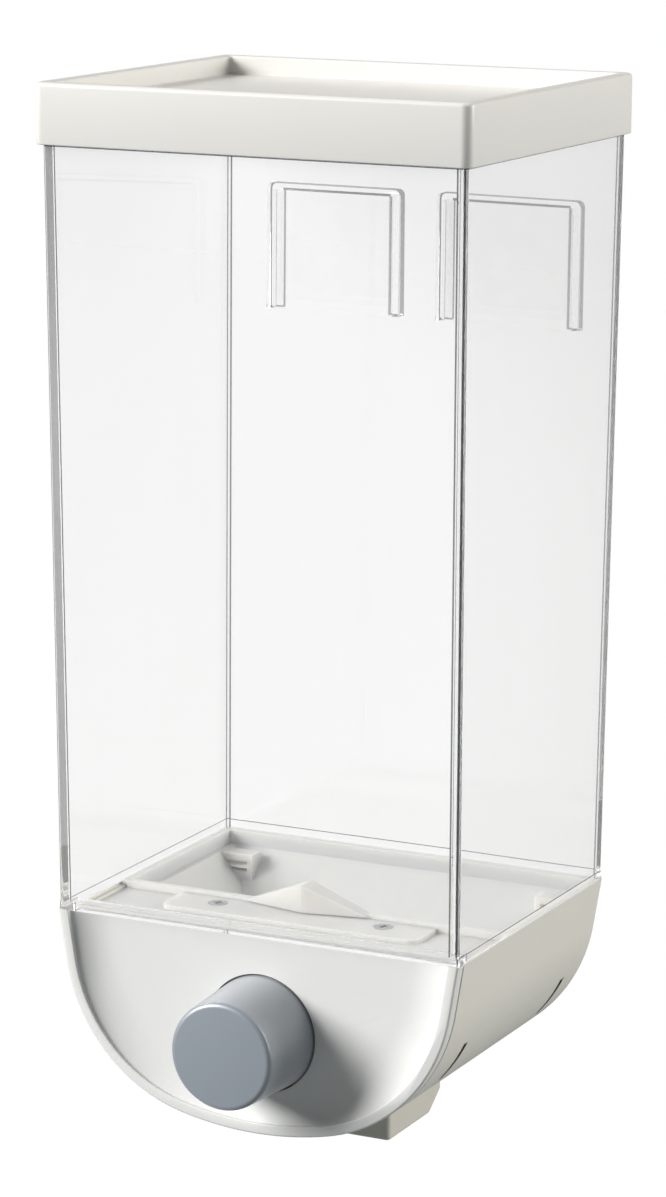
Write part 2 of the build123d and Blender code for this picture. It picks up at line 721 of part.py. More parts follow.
def make_outlet_spout():
    """The chute: a rectangular mouth below the bowl with a sloped back, and a flange above."""
    half = spout_width / 2
    tail = spout_back_y
    outline = [
        (spout_front_y, spout_flange_bottom),
        (spout_front_y, spout_mouth),
        (tail - spout_chamfer_run, spout_mouth),
        (tail, spout_mouth + spout_chamfer_rise),
        (tail, spout_flange_bottom),
    ]
    body = extrude(Plane.YZ * make_face(Polyline(*outline, close=True)), spout_width)
    body = Pos(-half, 0, 0) * body
    body = fillet(body.edges().filter_by(Axis.Z).group_by(Axis.Y)[0], spout_corner)
    body = fillet(body.edges().filter_by(Axis.X).sort_by(Axis.Z)[0], spout_foot_round)
    flange = block(-gate_rail_outer_x, gate_rail_outer_x, rail_front_y, flange_back_y,
                   spout_flange_bottom, spout_top)
    inner_front = spout_front_y + spout_wall
    inner_back = tail - spout_wall
    cavity = [
        (inner_front, spout_flange_bottom),
        (inner_front, spout_mouth),
        (tail - spout_chamfer_run - spout_slope_wall, spout_mouth),
        (inner_back, spout_mouth + spout_chamfer_rise),
        (inner_back, spout_flange_bottom),
    ]
    inner_width = spout_width - 2 * spout_wall
    hollow = extrude(Plane.YZ * make_face(Polyline(*cavity, close=True)), inner_width)
    hollow = Pos(-inner_width / 2, 0, 0) * hollow
    opening = block(-throat_width / 2, throat_width / 2, inner_front, inner_back,
                    spout_flange_bottom, spout_top)
    notch = block(-spout_notch_half_width, spout_notch_half_width, rail_front_y, inner_front,
                  spout_top - spout_notch_depth, spout_top)
    spout = body + flange - hollow - opening - notch
    for x, y in spout_screw_places():
        spout -= Pos(x, y, spout_flange_bottom) * countersink(spout_flange)
    return spout


def countersink(depth):
    """The hollow of a countersunk screw hole, drawn upwards from the head's face."""
    hole = z_rod(screw_radius + screw_clearance, 0, depth)
    sink = Pos(0, 0, screw_head_height / 2) * Cone(
        screw_head_radius + screw_clearance, screw_radius + screw_clearance, screw_head_height)
    return hole + sink


def screw(length):
    """A small countersunk screw, head at the bottom, point up."""
    shank = z_rod(screw_radius - press_clearance, 0, length)
    shank = chamfer(shank.edges().group_by(Axis.Z)[-1], screw_radius / 2)
    head = Pos(0, 0, screw_head_height / 2) * Cone(screw_head_radius, screw_radius, screw_head_height)
    slot = block(-screw_radius, screw_radius, -part_gap, part_gap, 0, screw_head_height / 2)
    cross = block(-part_gap, part_gap, -screw_radius, screw_radius, 0, screw_head_height / 2)
    return shank + head - slot - cross


def make_spout_screws():
    """Four screws up through the spout's flange and the gate rails."""
    return [Pos(x, y, spout_flange_bottom) * screw(spout_screw_length) for x, y in spout_screw_places()]


def make_knob_screws():
    """Two screws from behind the ring into the knob."""
    turned = Rot(90, 0, 0) * screw(knob_screw_length)
    return [Pos(side * knob_screw_offset, ring_back_y, knob_axis) * turned for side in (-1, 1)]


def make_deck_screws():
    """Two screws down through the deck into the bracket."""
    turned = Rot(180, 0, 0) * screw(deck_screw_length)
    return [Pos(side * deck_screw_x, deck_screw_y, deck_top) * turned for side in (-1, 1)]


nodes = {
    "lid": make_lid(),
    "lid_seal": make_lid_seal(),
    "container": make_container(),
    "base_shell": make_base_shell(),
    "front_cover": make_front_cover(),
    "push_knob": make_push_knob(),
    "knob_screws": make_knob_screws(),
    "slide_gate": make_slide_gate(),
    "return_spring": make_return_spring(),
    "guide_post": make_guide_post(),
    "guide_bracket": make_guide_bracket(),
    "mechanism_cover": make_mechanism_cover(),
    "mechanism_cover_screws": make_deck_screws(),
    "hopper": make_hopper(),
    "gate_rail_left": make_gate_rail(-1),
    "gate_rail_right": make_gate_rail(1),
    "outlet_spout": make_outlet_spout(),
    "spout_screws": make_spout_screws(),
    "wall_plate_left": make_wall_plate(-1),
    "wall_plate_right": make_wall_plate(1),
    "adhesive_pad_left": make_adhesive_pad(-1),
    "adhesive_pad_right": make_adhesive_pad(1),
}

os.makedirs("parts", exist_ok=True)
to_wall = Pos(0, -wall_plane_y, -origin_z)
for name, shape in nodes.items():
    solids = shape if isinstance(shape, list) else shape.solids()
    export_step(Compound(children=[to_wall * solid for solid in solids]), f"parts/{name}.step")
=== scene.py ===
"""Looks of a wall-hung dispenser for dry food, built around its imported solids.

Lengths in the classes are millimetres about the middle of the container, with Z 0 at its foot;
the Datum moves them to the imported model's own origin on the wall. A crease is the least angle in
degrees that isn't shaded smooth, steps and sides count edges, and a relief is a bump's strength
and its depth in metres.
"""

from __future__ import annotations

import json
import logging
import math
from dataclasses import dataclass, field
from enum import Enum
from functools import cache
from typing import Callable, Sequence

import bmesh
import bpy
from bmesh.types import BMEdge, BMesh, BMFace, BMVert
from bpy.types import Material, MeshPolygon, Node, NodeSocket, Object, World
from mathutils import Matrix, Vector

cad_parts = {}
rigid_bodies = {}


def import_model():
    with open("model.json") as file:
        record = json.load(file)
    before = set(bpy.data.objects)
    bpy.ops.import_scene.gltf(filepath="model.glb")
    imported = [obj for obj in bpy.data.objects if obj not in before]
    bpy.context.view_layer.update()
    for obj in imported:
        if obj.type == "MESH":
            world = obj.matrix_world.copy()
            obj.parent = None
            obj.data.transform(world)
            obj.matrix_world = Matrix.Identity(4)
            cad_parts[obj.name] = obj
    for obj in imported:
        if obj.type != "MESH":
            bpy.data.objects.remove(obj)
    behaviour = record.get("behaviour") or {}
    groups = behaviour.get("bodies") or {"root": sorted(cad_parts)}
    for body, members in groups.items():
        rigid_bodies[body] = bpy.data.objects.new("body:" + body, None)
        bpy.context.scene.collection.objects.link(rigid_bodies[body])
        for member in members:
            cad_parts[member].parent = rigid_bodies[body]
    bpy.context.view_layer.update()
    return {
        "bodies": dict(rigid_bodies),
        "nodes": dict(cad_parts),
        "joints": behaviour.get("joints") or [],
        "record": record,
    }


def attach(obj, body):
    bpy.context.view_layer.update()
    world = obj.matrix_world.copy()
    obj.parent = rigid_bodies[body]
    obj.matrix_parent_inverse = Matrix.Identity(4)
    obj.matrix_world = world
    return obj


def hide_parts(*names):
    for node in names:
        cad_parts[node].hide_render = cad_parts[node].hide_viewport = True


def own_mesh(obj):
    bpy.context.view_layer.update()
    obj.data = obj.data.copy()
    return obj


log = logging.getLogger("dispenser")

UP = Vector((0.0, 0.0, 1.0))
BACK = Vector((0.0, 1.0, 0.0))
AXIS_Z = -26.2
DOUBLES = 1e-4
EDGE_STEPS = 2

Rgb = tuple[int, int, int]
Rgba = tuple[float, float, float, float]
Pair = tuple[float, float]
Triple = tuple[float, float, float]


class Side(Enum):
    """The two sides of the dispenser, seen from the front."""

    LEFT = -1
    RIGHT = 1


class Cut(Enum):
    """How one closed mesh is combined with another."""

    JOIN = "UNION"
    REMOVE = "DIFFERENCE"


@dataclass(frozen=True)
class Datum:
    """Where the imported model's origin lies, in the millimetres that the classes use."""

    wall_y: float = 51.5726
    plate_z: float = 148.3
    scale: float = 0.001

    def point(self, x: float, y: float, z: float) -> Vector:
        """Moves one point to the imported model's frame, in metres."""
        return Vector((x, y - self.wall_y, z - self.plate_z)) * self.scale

    def local(self, place: Vector) -> Vector:
        """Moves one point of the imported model's frame back to the classes' millimetres."""
        return (place - self.point(0.0, 0.0, 0.0)) / self.scale

    def place(self, bm: BMesh) -> None:
        """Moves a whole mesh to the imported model's frame, in metres."""
        shift = Matrix.Translation((0.0, -self.wall_y, -self.plate_z))
        bmesh.ops.transform(bm, matrix=Matrix.Scale(self.scale, 4) @ shift, verts=bm.verts)

    def fetch(self, bm: BMesh) -> None:
        """Moves a whole mesh back to the classes' millimetres."""
        shift = Matrix.Translation((0.0, self.wall_y, self.plate_z))
        bmesh.ops.transform(bm, matrix=shift @ Matrix.Scale(1 / self.scale, 4), verts=bm.verts)


DATUM = Datum()


# Mesh helpers


def round_edges(bm: BMesh, edges: Sequence[BMEdge], width: float, steps: int) -> None:
    """Rounds edges of a mesh over a width on each side."""
    bmesh.ops.bevel(bm, geom=list(edges), offset=width, offset_type="OFFSET", segments=steps,
                    profile=0.5, affect="EDGES", clamp_overlap=True, material=-1)


def face_outwards(bm: BMesh) -> None:
    """Merges doubles and turns every face outwards."""
    bmesh.ops.remove_doubles(bm, verts=bm.verts, dist=DOUBLES)
    bmesh.ops.recalc_face_normals(bm, faces=bm.faces)


def block(low: Triple, high: Triple) -> BMesh:
    """Makes a box.

    Args:
        low: Its lowest corner.
        high: Its highest corner.

    Returns:
        The box as a closed mesh.
    """
    bm = bmesh.new()
    low_v, high_v = Vector(low), Vector(high)
    size = Matrix.Diagonal((*(high_v - low_v), 1.0))
    bmesh.ops.create_cube(bm, size=1.0, matrix=Matrix.Translation((low_v + high_v) / 2) @ size)
    return bm


def rod(radius: float, x: float, start: float, end: float, sides: int) -> BMesh:
    """Makes a round bar along Y at the height of the knob's axis.

    Args:
        radius: The bar's radius.
        x: The X of its axis.
        start: The Y of its first end.
        end: The Y of its second end.
        sides: How many sides it has.

    Returns:
        The bar as a closed mesh.
    """
    bm = bmesh.new()
    turn = UP.rotation_difference(BACK * math.copysign(1.0, end - start)).to_matrix().to_4x4()
    bmesh.ops.create_cone(bm, cap_ends=True, segments=sides, radius1=radius, radius2=radius,
                          depth=abs(end - start),
                          matrix=Matrix.Translation((x, (start + end) / 2, AXIS_Z)) @ turn)
    return bm


def join_rings(bm: BMesh, rings: Sequence[Sequence[BMEdge]]) -> None:
    """Bridges each ring of edges to the next."""
    for first, second in zip(rings, rings[1:]):
        bmesh.ops.bridge_loops(bm, edges=[*first, *second])


def close_stack(bm: BMesh, rings: Sequence[Sequence[BMEdge]]) -> None:
    """Turns a stack of rings into a closed mesh.

    Args:
        bm: The mesh.
        rings: The edges of each ring.
    """
    join_rings(bm, rings)
    for ring in (rings[0], rings[-1]):
        bmesh.ops.contextual_create(bm, geom=list(ring))
    face_outwards(bm)


def to_object(bm: BMesh, name: str, placed: bool = False) -> Object:
    """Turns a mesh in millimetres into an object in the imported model's frame.

    Args:
        bm: The mesh, which is freed.
        name: The object's name.
        placed: True if the mesh is already in metres in that frame.

    Returns:
        The new object, at the origin.
    """
    if not placed:
        DATUM.place(bm)
    mesh = bpy.data.meshes.new(name)
    bm.to_mesh(mesh)
    bm.free()
    obj = bpy.data.objects.new(name, mesh)
    bpy.context.scene.collection.objects.link(obj)
    return obj


def combine(obj: Object, tool: BMesh, cut: Cut) -> None:
    """Joins a closed mesh to an object, or cuts it away.

    Args:
        obj: The object, which keeps its name and gets the new mesh.
        tool: The other mesh, in millimetres.
        cut: Whether to join or to remove.
    """
    other = to_object(tool, obj.name + "_tool")
    modifier = obj.modifiers.new("combine", "BOOLEAN")
    modifier.operation = cut.value
    modifier.solver = "EXACT"
    modifier.object = other
    graph = bpy.context.evaluated_depsgraph_get()
    merged = bpy.data.meshes.new_from_object(obj.evaluated_get(graph))
    obj.modifiers.clear()
    merged.name = obj.name
    old, obj.data = obj.data, merged
    bpy.data.meshes.remove(old)
    bpy.data.objects.remove(other)


def smooth(obj: Object, crease: float) -> None:
    """Shades an object smooth up to a crease angle."""
    obj.data.shade_smooth()
    obj.data.set_sharp_from_angle(angle=math.radians(crease))


def soften(obj: Object, width: float, degrees: float) -> None:
    """Adds a small rounding to an object's sharp edges.

    Args:
        obj: The object.
        width: The rounding's reach, in millimetres.
        degrees: The least angle that is rounded.
    """
    bevel = obj.modifiers.new("edge_round", "BEVEL")
    bevel.width = width * DATUM.scale
    bevel.segments = EDGE_STEPS
    bevel.limit_method = "ANGLE"
    bevel.angle_limit = math.radians(degrees)
    bevel.miter_outer = "MITER_ARC"


# Finishes


def srgb(red: int, green: int, blue: int) -> Rgba:
    """Turns a colour on a screen's 0 to 255 scale into a linear one."""
    linear = [c / 12.92 if c <= 0.04045 else ((c + 0.055) / 1.055) ** 2.4
              for c in (red / 255, green / 255, blue / 255)]
    return (linear[0], linear[1], linear[2], 1.0)


def grey(level: float) -> Rgba:
    """Gives a linear grey."""
    return (level, level, level, 1.0)


@dataclass(frozen=True)
class Pattern:
    """A noise: blobs in a metre, finer layers, scale on each axis, strength of the layers."""

    scale: float
    detail: float = 2.0
    stretch: Triple = (1.0, 1.0, 1.0)
    rough: float = 0.5


class NodeSheet:
    """The nodes of a material or a world."""

    def __init__(self, owner: Material | World, output: str) -> None:
        """Empties the owner's nodes.

        Args:
            owner: The material or the world.
            output: The type of its output node.
        """
        self.owner = owner
        self.owner.use_nodes = True
        self.tree = owner.node_tree
        self.tree.nodes.clear()
        self.output = self.add(output)

    def feed(self, socket: NodeSocket, value: object) -> None:
        """Links an input to another node, or sets its value.

        Args:
            socket: The input.
            value: A node (for its first output), an output or a plain value.
        """
        if isinstance(value, Node):
            value = value.outputs[0]
        if isinstance(value, NodeSocket):
            self.tree.links.new(value, socket)
        else:
            socket.default_value = value

    def add(self, kind: str, *values: object, **sockets: object) -> Node:
        """Adds a node and feeds its inputs.

        Args:
            kind: The node's type.
            values: What its first inputs get, in order.
            sockets: What its named inputs and settings get, with underscores for spaces.

        Returns:
            The node.
        """
        node = self.tree.nodes.new(kind)
        for socket, value in zip(node.inputs, values):
            self.feed(socket, value)
        for name, value in sockets.items():
            if name.islower():
                setattr(node, name, value)
            else:
                self.feed(node.inputs[name.replace("_", " ")], value)
        return node

    def noise(self, pattern: Pattern) -> Node:
        """Adds a noise on the object's own coordinates.

        Args:
            pattern: Its sizes.

        Returns:
            The noise node.
        """
        place = self.add("ShaderNodeTexCoord").outputs["Object"]
        return self.add("ShaderNodeTexNoise", Scale=pattern.scale, Detail=pattern.detail,
                        Roughness=pattern.rough,
                        Vector=self.add("ShaderNodeMapping", place, Scale=pattern.stretch))

    def spread(self, source: object, low: float, high: float, near: float = 0.3,
               far: float = 0.7) -> Node:
        """Maps a pattern's part from near to far to the values from low to high."""
        return self.add("ShaderNodeMapRange", source, near, far, low, high)

    def blend(self, first: object, second: object, factor: object) -> NodeSocket:
        """Mixes two colours by a pattern.

        Args:
            first: The colour at zero.
            second: The colour at one.
            factor: The pattern.

        Returns:
            The mixed colour's output.
        """
        node = self.add("ShaderNodeMix", data_type="RGBA")
        for index, value in ((0, factor), (6, first), (7, second)):
            self.feed(node.inputs[index], value)
        return node.outputs[2]

    def mix(self, factor: object, first: object, second: object) -> Node:
        """Mixes two shaders, the second by the factor's share."""
        return self.add("ShaderNodeMixShader", factor, first, second)

    def math(self, operation: str, first: object, second: object) -> Node:
        """Adds a maths node."""
        return self.add("ShaderNodeMath", first, second, operation=operation)

    def bumps(self, *layers: tuple[Pattern, float, float]) -> Node:
        """Chains bump nodes.

        Args:
            layers: Each layer's pattern, strength and depth in metres.

        Returns:
            The last Bump node.
        """
        links: dict[str, Node] = {}
        for pattern, strength, depth in layers:
            links["Normal"] = self.add("ShaderNodeBump", Strength=strength, Distance=depth,
                                       Height=self.noise(pattern), **links)
        return links["Normal"]

    def finish(self, shader: Node) -> Material | World:
        """Links the last shader to the output and gives the owner back."""
        self.feed(self.output.inputs["Surface"], shader)
        return self.owner


def material_sheet(name: str) -> NodeSheet:
    """Starts an empty node material."""
    return NodeSheet(bpy.data.materials.new(name), "ShaderNodeOutputMaterial")


@dataclass(frozen=True)
class MouldedPlastic:
    """An opaque moulded plastic: slight mottle, orange peel, fine grain and rubbed edges.

    Light goes into it by the share in through and as far as reach, in metres, and red the
    farthest. The coat's gloss is its roughness and its index of refraction.
    """

    name: str
    slot: str
    color: Rgb
    shade: Rgb
    roughness: float = 0.32
    peel: float = 0.05
    peel_depth: float = 0.0004
    peel_pattern: Pattern = Pattern(320.0, 1.0)
    grain: float = 0.08
    grain_depth: float = 0.00006
    grain_pattern: Pattern = Pattern(2400.0)
    rubbed: float = 0.06
    through: float = 0.0
    reach: float = 0.002
    coat: float = 0.0
    velvet: float = 0.0
    flow: Pattern = Pattern(26.0, 3.0, (1.0, 1.0, 0.45))
    smear: Pattern = Pattern(60.0, 4.0, (1.0, 1.0, 0.6), 0.6)
    rub_color: Rgba = (0.94, 0.94, 0.93, 1.0)
    rub_edge: Pair = (0.5, 0.58)
    gloss_change: Pair = (-0.03, 0.05)
    gloss_edge: Pair = (0.1, 0.9)
    coat_gloss: Pair = (0.42, 1.9)
    velvet_roughness: float = 0.35
    redder: Triple = (1.0, 0.9, 0.7)

    @cache
    def material(self) -> Material:
        """Builds the material once.

        Returns:
            The material.
        """
        sheet = material_sheet(self.name)
        base = sheet.blend(srgb(*self.color), srgb(*self.shade), sheet.noise(self.flow))
        edge = sheet.add("ShaderNodeNewGeometry").outputs["Pointiness"]
        rim = sheet.spread(edge, 0.0, self.rubbed, *self.rub_edge)
        low, high = (self.roughness + change for change in self.gloss_change)
        gloss = sheet.spread(sheet.noise(self.smear), low, high, *self.gloss_edge)
        surface = sheet.bumps((self.peel_pattern, self.peel, self.peel_depth),
                              (self.grain_pattern, self.grain, self.grain_depth))
        return sheet.finish(sheet.add(
            "ShaderNodeBsdfPrincipled", IOR=1.5, Normal=surface, Roughness=gloss,
            Base_Color=sheet.blend(base, self.rub_color, rim), Subsurface_Weight=self.through,
            Subsurface_Radius=self.redder, Subsurface_Scale=self.reach, Coat_Weight=self.coat,
            Coat_Roughness=self.coat_gloss[0], Coat_IOR=self.coat_gloss[1],
            Sheen_Weight=self.velvet, Sheen_Roughness=self.velvet_roughness))


@dataclass(frozen=True)
class ClearPlastic:
    """A clear polished plastic.

    Shadow rays and scattered light go straight through it, so what is inside is lit. Rays that
    are caught between a wall's faces leave it dimmed, which draws the grey lines at the corners,
    and a faint haze scatters a little light at each face.
    """

    name: str
    slot: str
    color: Rgb = (254, 254, 254)
    veil: Rgb = (251, 251, 251)
    ior: float = 1.49
    roughest: float = 0.01
    longest_path: float = 5.5
    dimmed: float = 0.90
    straight: float = 0.97
    haze: Pair = (0.048, 0.072)
    smear: Pattern = Pattern(14.0, 4.0, (1.0, 1.0, 0.35), 0.6)
    ripple: Pattern = Pattern(18.0, 2.0, (1.0, 1.0, 0.3))
    relief: Pair = (0.04, 0.0004)

    @cache
    def material(self) -> Material:
        """Builds the material once.

        Returns:
            The material.
        """
        sheet = material_sheet(self.name)
        smear = sheet.noise(self.smear)
        shader = sheet.add(
            "ShaderNodeBsdfPrincipled", IOR=self.ior, Transmission_Weight=1.0,
            Base_Color=sheet.blend(srgb(*self.color), srgb(*self.veil), smear),
            Roughness=sheet.spread(smear, 0.0, self.roughest, 0.45, 0.75),
            Normal=sheet.bumps((self.ripple, *self.relief)))
        milk = sheet.add("ShaderNodeBsdfDiffuse", Color=srgb(*self.color))
        cloud = sheet.spread(smear, *self.haze)
        rays = sheet.add("ShaderNodeLightPath").outputs
        caught = sheet.math("GREATER_THAN", rays["Ray Depth"], self.longest_path)
        unseen = sheet.math("MAXIMUM", rays["Is Shadow Ray"], rays["Is Diffuse Ray"])
        dim = sheet.add("ShaderNodeBsdfTransparent", Color=grey(self.dimmed))
        straight = sheet.add("ShaderNodeBsdfTransparent", Color=grey(self.straight))
        seen = sheet.mix(caught, sheet.mix(cloud, shader, milk), dim)
        return sheet.finish(sheet.mix(unseen, seen, straight))


@dataclass(frozen=True)
class ClearFilm:
    """A clear piece that can hardly be seen: mostly see-through, with a faint broken gloss."""

    name: str
    slot: str
    color: Rgb = (250, 250, 250)
    shows: Pair = (0.01, 0.03)
    patches: Pattern = Pattern(120.0, 3.0)
    relief: Pair = (0.05, 0.0002)
    clear: float = 0.998

    @cache
    def material(self) -> Material:
        """Builds the material once.

        Returns:
            The material.
        """
        sheet = material_sheet(self.name)
        patches = sheet.noise(self.patches)
        shader = sheet.add(
            "ShaderNodeBsdfPrincipled", IOR=1.45, Transmission_Weight=0.6,
            Base_Color=srgb(*self.color), Roughness=sheet.spread(patches, 0.2, 0.5),
            Normal=sheet.bumps((self.patches, *self.relief)))
        clear = sheet.add("ShaderNodeBsdfTransparent", Color=grey(self.clear))
        return sheet.finish(sheet.mix(sheet.spread(patches, *self.shows), clear, shader))


@dataclass(frozen=True)
class PatchySurface:
    """Plated steel or rubber, with duller patches and a fine relief of drawn lines or cells."""

    name: str
    slot: str
    color: Rgb
    dull: Rgb
    fine: Pattern = Pattern(3500.0, 2.0, (1.0, 0.05, 1.0))
    relief: Pair = (0.15, 0.00004)
    patches: Pattern = Pattern(240.0, 3.0)
    gloss: Pair = (0.26, 0.42)
    metallic: float = 1.0
    ior: float = 1.5

    @cache
    def material(self) -> Material:
        """Builds the material once.

        Returns:
            The material.
        """
        sheet = material_sheet(self.name)
        patches = sheet.noise(self.patches)
        return sheet.finish(sheet.add(
            "ShaderNodeBsdfPrincipled", Metallic=self.metallic, IOR=self.ior,
            Base_Color=sheet.blend(srgb(*self.color), srgb(*self.dull), patches),
            Roughness=sheet.spread(patches, *self.gloss),
            Normal=sheet.bumps((self.fine, *self.relief))))


Finish = MouldedPlastic | ClearPlastic | ClearFilm | PatchySurface


@dataclass
class FinishBook:
    """Every finish of the dispenser under a short name."""

    finishes: dict[str, Finish]

    def dress(self, obj: Object, key: str) -> None:
        """Gives an object one finish."""
        obj.data.materials.clear()
        obj.data.materials.append(self.finishes[key].material())

    def dress_more(self, obj: Object, key: str, shows: Callable[[MeshPolygon], bool]) -> None:
        """Gives the faces of an object that pass a test another finish.

        Args:
            obj: The object, which has one finish.
            key: The other finish's short name.
            shows: The test.
        """
        obj.data.materials.append(self.finishes[key].material())
        for face in filter(shows, obj.data.polygons):
            face.material_index = 1

    def dress_node(self, node: Object, key: str) -> None:
        """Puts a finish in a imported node's own material slots."""
        for slot in node.material_slots:
            slot.material = self.finishes[key].material()

    def slot(self, key: str) -> str:
        """Gives the record's slot name of a finish."""
        return self.finishes[key].slot


def make_finishes() -> FinishBook:
    """Lists the dispenser's finishes."""
    return FinishBook({
        "white": MouldedPlastic(
            "white_plastic", "white_plastic", (229, 229, 226), (226, 226, 224),
            roughness=0.30, through=0.12),
        # A darker copy of the white plastic for the parts inside the base: painted shade, as the
        # inside gets less light.
        "inner": MouldedPlastic(
            "inner_plastic_painted_shade", "white_plastic", (213, 212, 208), (209, 208, 204),
            roughness=0.36, peel=0.03, through=0.7, reach=0.006),
        "lid": MouldedPlastic(
            "lid_plastic", "white_plastic", (230, 228, 224), (227, 225, 220), through=0.12),
        "shell": MouldedPlastic(
            "shell_plastic", "shell_plastic", (226, 224, 215), (222, 219, 209),
            roughness=0.34, through=0.10),
        # A darker copy of the shell plastic for the slits' inner walls: painted shade in the
        # recesses.
        "slit": MouldedPlastic(
            "slit_painted_shade", "shell_plastic", (134, 126, 110), (126, 118, 102), roughness=0.50),
        "spout": MouldedPlastic(
            "spout_plastic", "beige_plastic", (206, 204, 193), (200, 197, 186),
            roughness=0.42, peel=0.04, grain=0.15),
        "knob": MouldedPlastic(
            "knob_plastic", "grey_plastic", (138, 147, 156), (132, 141, 151),
            roughness=0.34, peel=0.03, grain=0.14, rubbed=0.03, coat=1.0, velvet=1.0),
        "clear": ClearPlastic("clear_plastic", "clear_plastic"),
        # A dark copy of the clear plastic: painted shade for the dark lines along the container's
        # edges and corners.
        "clear_painted_shade_line": ClearPlastic("clear_painted_shade_line", "clear_plastic", (58, 60, 62), (48, 50, 52)),
        "plate": ClearFilm("clear_plate", "clear_plastic"),
        "seal": PatchySurface(
            "soft_seal", "soft_seal", (232, 232, 228), (222, 222, 217), Pattern(1500.0),
            (0.2, 0.0001), Pattern(90.0, 3.0), gloss=(0.4, 0.6), metallic=0.0, ior=1.42),
        "pad": ClearFilm("clear_gel", "pad_gel", (244, 246, 244), (0.0075, 0.0225)),
        "screw": PatchySurface("screw_steel", "screw_steel", (176, 178, 180), (151, 153, 154)),
        "wire": PatchySurface(
            "spring_steel", "spring_steel", (160, 162, 166), (137, 139, 142), Pattern(3500.0)),
    })


# Pieces


@dataclass
class Ring:
    """One level of a stack: a rectangle with rounded corners."""

    half_x: float
    half_y: float
    corner: float
    z: float
    middle_y: float = 0.0

    def draw(self, bm: BMesh, steps: int) -> list[BMEdge]:
        """Adds the rectangle's edges to a mesh.

        Args:
            bm: The mesh.
            steps: How many edges each corner has.

        Returns:
            The edges.
        """
        size = Matrix.Diagonal((self.half_x, self.half_y, 1.0, 1.0))
        matrix = Matrix.Translation((0.0, self.middle_y, self.z)) @ size
        corners = bmesh.ops.create_grid(bm, x_segments=1, y_segments=1, size=1.0,
                                        matrix=matrix)["verts"]
        done = bmesh.ops.bevel(bm, geom=corners, offset=self.corner, offset_type="OFFSET",
                               segments=steps, profile=0.5, affect="VERTICES",
                               clamp_overlap=False, material=-1)
        face = max((f for v in done["verts"] for f in v.link_faces), key=BMFace.calc_area)
        edges = list(face.edges)
        bmesh.ops.delete(bm, geom=[face], context="FACES_ONLY")
        return edges


def arc(x: float, y: float, run: float, rise: float, steps: int, way: int = 1) -> list[Pair]:
    """Lists points on a quarter circle, from (x, y + rise) to (x + run, y), or back."""
    turns = [math.pi / 2 * k / steps for k in range(steps + 1)][::way]
    return [(x + run * (1 - math.cos(turn)), y + rise * (1 - math.sin(turn))) for turn in turns]


@dataclass
class Lid:
    """The cap: a tray-like top, a skirt outside the container's neck and a plug ring inside it."""

    half_x: float = 55.0
    half_y: float = 47.2
    corner: float = 2.4
    sharper: float = 0.6
    least_corner: float = 0.9
    corner_steps: int = 8
    bottom: float = 180.8
    height: float = 14.3
    skirt: float = 1.2
    skirt_corner: float = 1.4
    foot_round: float = 0.3
    rim: float = 3.2
    rim_round: float = 1.0
    inner_round: float = 0.6
    recess: float = 4.6
    floor_round: float = 0.5
    floor: float = 1.8
    plug_half_x: float = 50.15
    plug_half_y: float = 42.35
    plug_wall: float = 1.4
    plug_corner: float = 1.0
    plug_depth: float = 4.5
    crease: float = 50.0

    def levels(self) -> list[Ring]:
        """Lists the rings from the middle of the underside out and up to the tray's floor.

        Returns:
            The rings.
        """
        top = self.bottom + self.height
        tray = top - self.recess
        ceiling = tray - self.floor
        plug_end = ceiling - self.plug_depth
        bore_x, bore_y = self.plug_half_x - self.plug_wall, self.plug_half_y - self.plug_wall
        skirt_x, skirt_y = self.half_x - self.skirt, self.half_y - self.skirt
        rings = [
            Ring(bore_x, bore_y, self.plug_corner, ceiling),
            Ring(bore_x, bore_y, self.plug_corner, plug_end),
            Ring(self.plug_half_x, self.plug_half_y, self.corner, plug_end),
            Ring(self.plug_half_x, self.plug_half_y, self.corner, ceiling),
            Ring(skirt_x, skirt_y, self.skirt_corner, ceiling),
            Ring(skirt_x, skirt_y, self.skirt_corner, self.bottom),
        ]
        points = [
            *arc(0.0, self.bottom, self.foot_round, self.foot_round, 3, -1),
            *arc(0.0, top, self.rim_round, -self.rim_round, 6),
            *arc(self.rim, top, -self.inner_round, -self.inner_round, 5, -1),
            *arc(self.rim, tray, self.floor_round, self.floor_round, 5),
        ]
        return rings + [self.outer(inset, z) for inset, z in points]

    def outer(self, inset: float, z: float) -> Ring:
        """Gives a ring at an inset from the lid's outline."""
        corner = max(self.corner - self.sharper * inset, self.least_corner)
        return Ring(self.half_x - inset, self.half_y - inset, corner, z)

    def build(self, book: FinishBook) -> Object:
        """Makes the lid in the place of its solid.

        Args:
            book: The finishes.

        Returns:
            The lid.
        """
        bm = bmesh.new()
        close_stack(bm, [level.draw(bm, self.corner_steps) for level in self.levels()])
        lid = to_object(bm, "lid_cap")
        smooth(lid, self.crease)
        book.dress(lid, "lid")
        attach(lid, "lid")
        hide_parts("lid")
        book.slot("lid")
        return lid


